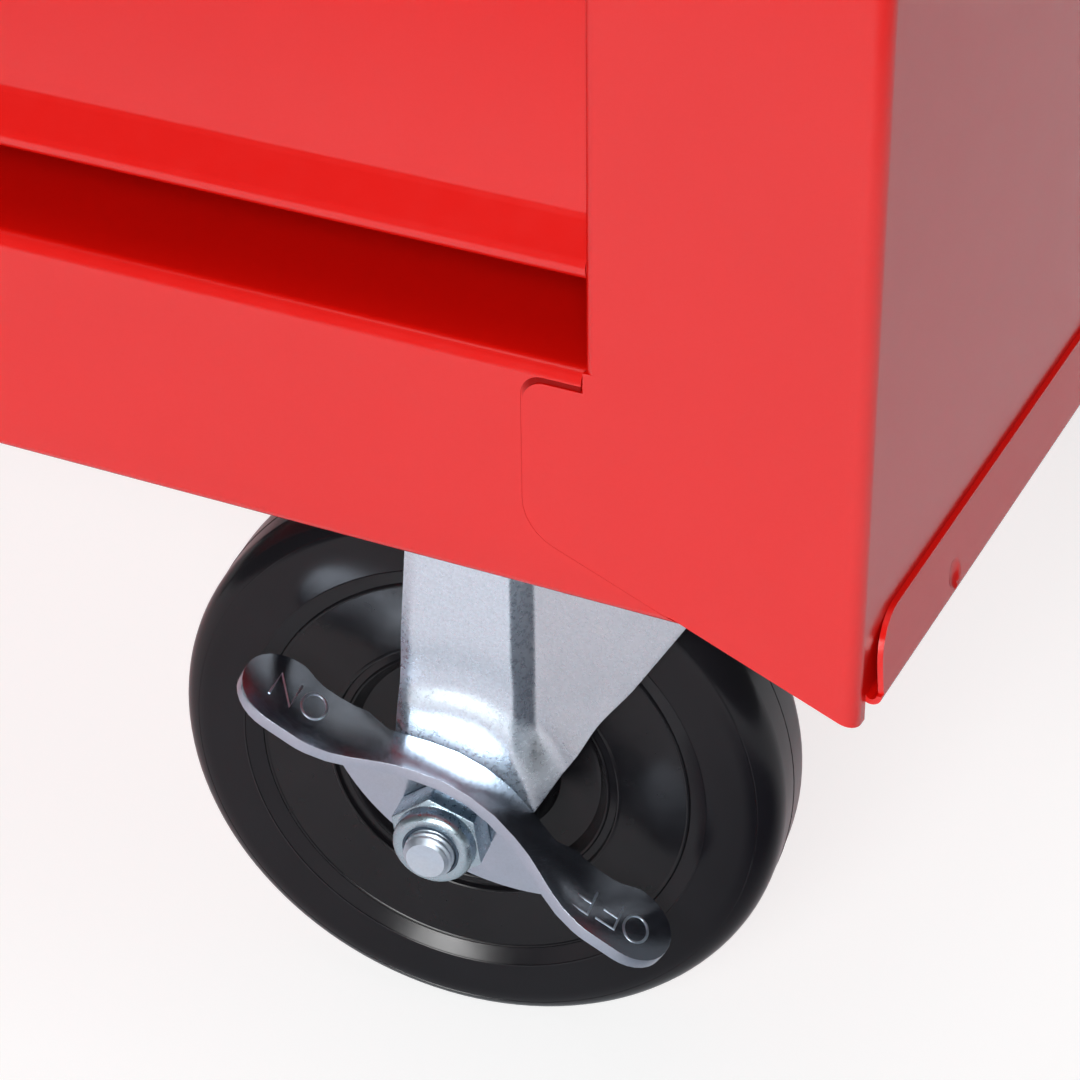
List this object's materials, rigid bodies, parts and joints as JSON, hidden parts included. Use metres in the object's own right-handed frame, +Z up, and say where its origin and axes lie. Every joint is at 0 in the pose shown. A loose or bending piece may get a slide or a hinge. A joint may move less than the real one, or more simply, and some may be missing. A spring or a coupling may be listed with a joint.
{
  "type": "rolling tool cabinet",
  "caption": "Rolling tool cabinet: folded sheet-steel body with full-width lipped drawers on slides, a recessed top, a side handle and casters, the front ones with wing brakes.",
  "frame": {"origin": "middle of the bounding box, on the floor under the wheels", "axes": "+X to the right seen from the front, +Y from the drawers to the back, +Z up"},
  "size_m": [0.7717, 0.462, 0.8779],
  "materials": {
    "red_paint": "bright red powder coat, satin gloss",
    "zinc": "bright zinc plate",
    "steel": "plain satin steel",
    "black_rubber": "satin black rubber",
    "black_core": "satin black moulded core",
    "black_plastic": "matte black"
  },
  "bodies": {
    "cabinet": {"side_panel_left": "red_paint", "side_panel_right": "red_paint", "back_panel": "red_paint", "top_panel": "red_paint", "bottom_panel": "red_paint", "bottom_rail": "red_paint", "top_rail": "red_paint", "base_channels": "steel", "slide_posts": "steel", "slide_outer_members": "steel", "handle_tube": "zinc", "handle_brackets": "black_plastic", "lock_body": "zinc", "front_caster_plates": "zinc", "kingpins": "zinc", "swivel_balls": "steel", "rear_caster_forks": "zinc", "caster_fasteners": "zinc", "rear_axle_fasteners": "zinc", "rear_axle_sleeves": "steel"},
    "lock": {"lock_plug": "steel", "lock_cam": "zinc"},
    "swivel_right": {"fork_right": "zinc", "axle_bolt_right": "zinc", "axle_nut_right": "zinc", "axle_sleeve_right": "steel"},
    "brake_right": {"brake_lever_right": "zinc"},
    "wheel_front_right": {"wheel_core_front_right": "black_core", "tyre_front_right": "black_rubber"},
    "wheel_rear_right": {"wheel_core_rear_right": "black_core", "tyre_rear_right": "black_rubber"},
    "swivel_left": {"fork_left": "zinc", "axle_bolt_left": "zinc", "axle_nut_left": "zinc", "axle_sleeve_left": "steel"},
    "brake_left": {"brake_lever_left": "zinc"},
    "wheel_front_left": {"wheel_core_front_left": "black_core", "tyre_front_left": "black_rubber"},
    "wheel_rear_left": {"wheel_core_rear_left": "black_core", "tyre_rear_left": "black_rubber"},
    "drawer_1": {"drawer_1_front": "red_paint", "drawer_1_box": "red_paint", "drawer_1_runners": "steel"},
    "slide_1": {"slide_1_middles": "steel"},
    "drawer_2": {"drawer_2_front": "red_paint", "drawer_2_box": "red_paint", "drawer_2_runners": "steel"},
    "slide_2": {"slide_2_middles": "steel"},
    "drawer_3": {"drawer_3_front": "red_paint", "drawer_3_box": "red_paint", "drawer_3_runners": "steel"},
    "slide_3": {"slide_3_middles": "steel"},
    "drawer_4": {"drawer_4_front": "red_paint", "drawer_4_box": "red_paint", "drawer_4_runners": "steel"},
    "slide_4": {"slide_4_middles": "steel"},
    "drawer_5": {"drawer_5_front": "red_paint", "drawer_5_box": "red_paint", "drawer_5_runners": "steel"},
    "slide_5": {"slide_5_middles": "steel"}
  },
  "joints": [
    {"name": "lock_turn", "type": "hinge", "parent": "cabinet", "child": "lock", "pos_m": [-0.01914, -0.22803, 0.8419], "axis": [0, 1, 0], "range_deg": [0, 90]},
    {"name": "swivel_right_turn", "type": "hinge", "parent": "cabinet", "child": "swivel_right", "pos_m": [0.25316, -0.16132, 0.1499], "axis": [0, 0, 1], "continuous": true},
    {"name": "wheel_front_right_spin", "type": "hinge", "parent": "swivel_right", "child": "wheel_front_right", "pos_m": [0.22151, -0.16606, 0.0625], "axis": [-0.1478, 0.989, 0], "continuous": true},
    {"name": "brake_right_press", "type": "hinge", "parent": "swivel_right", "child": "brake_right", "pos_m": [0.22151, -0.16606, 0.0625], "axis": [0.1478, -0.989, 0], "range_deg": [0, 60.8]},
    {"name": "wheel_rear_right_spin", "type": "hinge", "parent": "cabinet", "child": "wheel_rear_right", "pos_m": [0.25316, 0.16328, 0.0625], "axis": [1, 0, 0], "continuous": true},
    {"name": "swivel_left_turn", "type": "hinge", "parent": "cabinet", "child": "swivel_left", "pos_m": [-0.29144, -0.16132, 0.1499], "axis": [0, 0, 1], "continuous": true},
    {"name": "wheel_front_left_spin", "type": "hinge", "parent": "swivel_left", "child": "wheel_front_left", "pos_m": [-0.32309, -0.16606, 0.0625], "axis": [-0.1478, 0.989, 0], "continuous": true},
    {"name": "brake_left_press", "type": "hinge", "parent": "swivel_left", "child": "brake_left", "pos_m": [-0.32309, -0.16606, 0.0625], "axis": [0.1478, -0.989, 0], "range_deg": [0, 60.8]},
    {"name": "wheel_rear_left_spin", "type": "hinge", "parent": "cabinet", "child": "wheel_rear_left", "pos_m": [-0.29144, 0.16328, 0.0625], "axis": [1, 0, 0], "continuous": true},
    {"name": "drawer_1_slide", "type": "slide", "parent": "cabinet", "child": "drawer_1", "axis": [0, -1, 0], "range_m": [0, 0.38]},
    {"name": "slide_1_extend", "type": "slide", "parent": "cabinet", "child": "slide_1", "axis": [0, -1, 0], "range_m": [0, 0.19]},
    {"name": "drawer_2_slide", "type": "slide", "parent": "cabinet", "child": "drawer_2", "axis": [0, -1, 0], "range_m": [0, 0.38]},
    {"name": "slide_2_extend", "type": "slide", "parent": "cabinet", "child": "slide_2", "axis": [0, -1, 0], "range_m": [0, 0.19]},
    {"name": "drawer_3_slide", "type": "slide", "parent": "cabinet", "child": "drawer_3", "axis": [0, -1, 0], "range_m": [0, 0.38]},
    {"name": "slide_3_extend", "type": "slide", "parent": "cabinet", "child": "slide_3", "axis": [0, -1, 0], "range_m": [0, 0.19]},
    {"name": "drawer_4_slide", "type": "slide", "parent": "cabinet", "child": "drawer_4", "axis": [0, -1, 0], "range_m": [0, 0.38]},
    {"name": "slide_4_extend", "type": "slide", "parent": "cabinet", "child": "slide_4", "axis": [0, -1, 0], "range_m": [0, 0.19]},
    {"name": "drawer_5_slide", "type": "slide", "parent": "cabinet", "child": "drawer_5", "axis": [0, -1, 0], "range_m": [0, 0.38]},
    {"name": "slide_5_extend", "type": "slide", "parent": "cabinet", "child": "slide_5", "axis": [0, -1, 0], "range_m": [0, 0.19]}
  ],
  "couplings": [
    {"joint": "slide_1_extend", "follows": "drawer_1_slide", "ratio": 0.5},
    {"joint": "slide_2_extend", "follows": "drawer_2_slide", "ratio": 0.5},
    {"joint": "slide_3_extend", "follows": "drawer_3_slide", "ratio": 0.5},
    {"joint": "slide_4_extend", "follows": "drawer_4_slide", "ratio": 0.5},
    {"joint": "slide_5_extend", "follows": "drawer_5_slide", "ratio": 0.5}
  ]
}
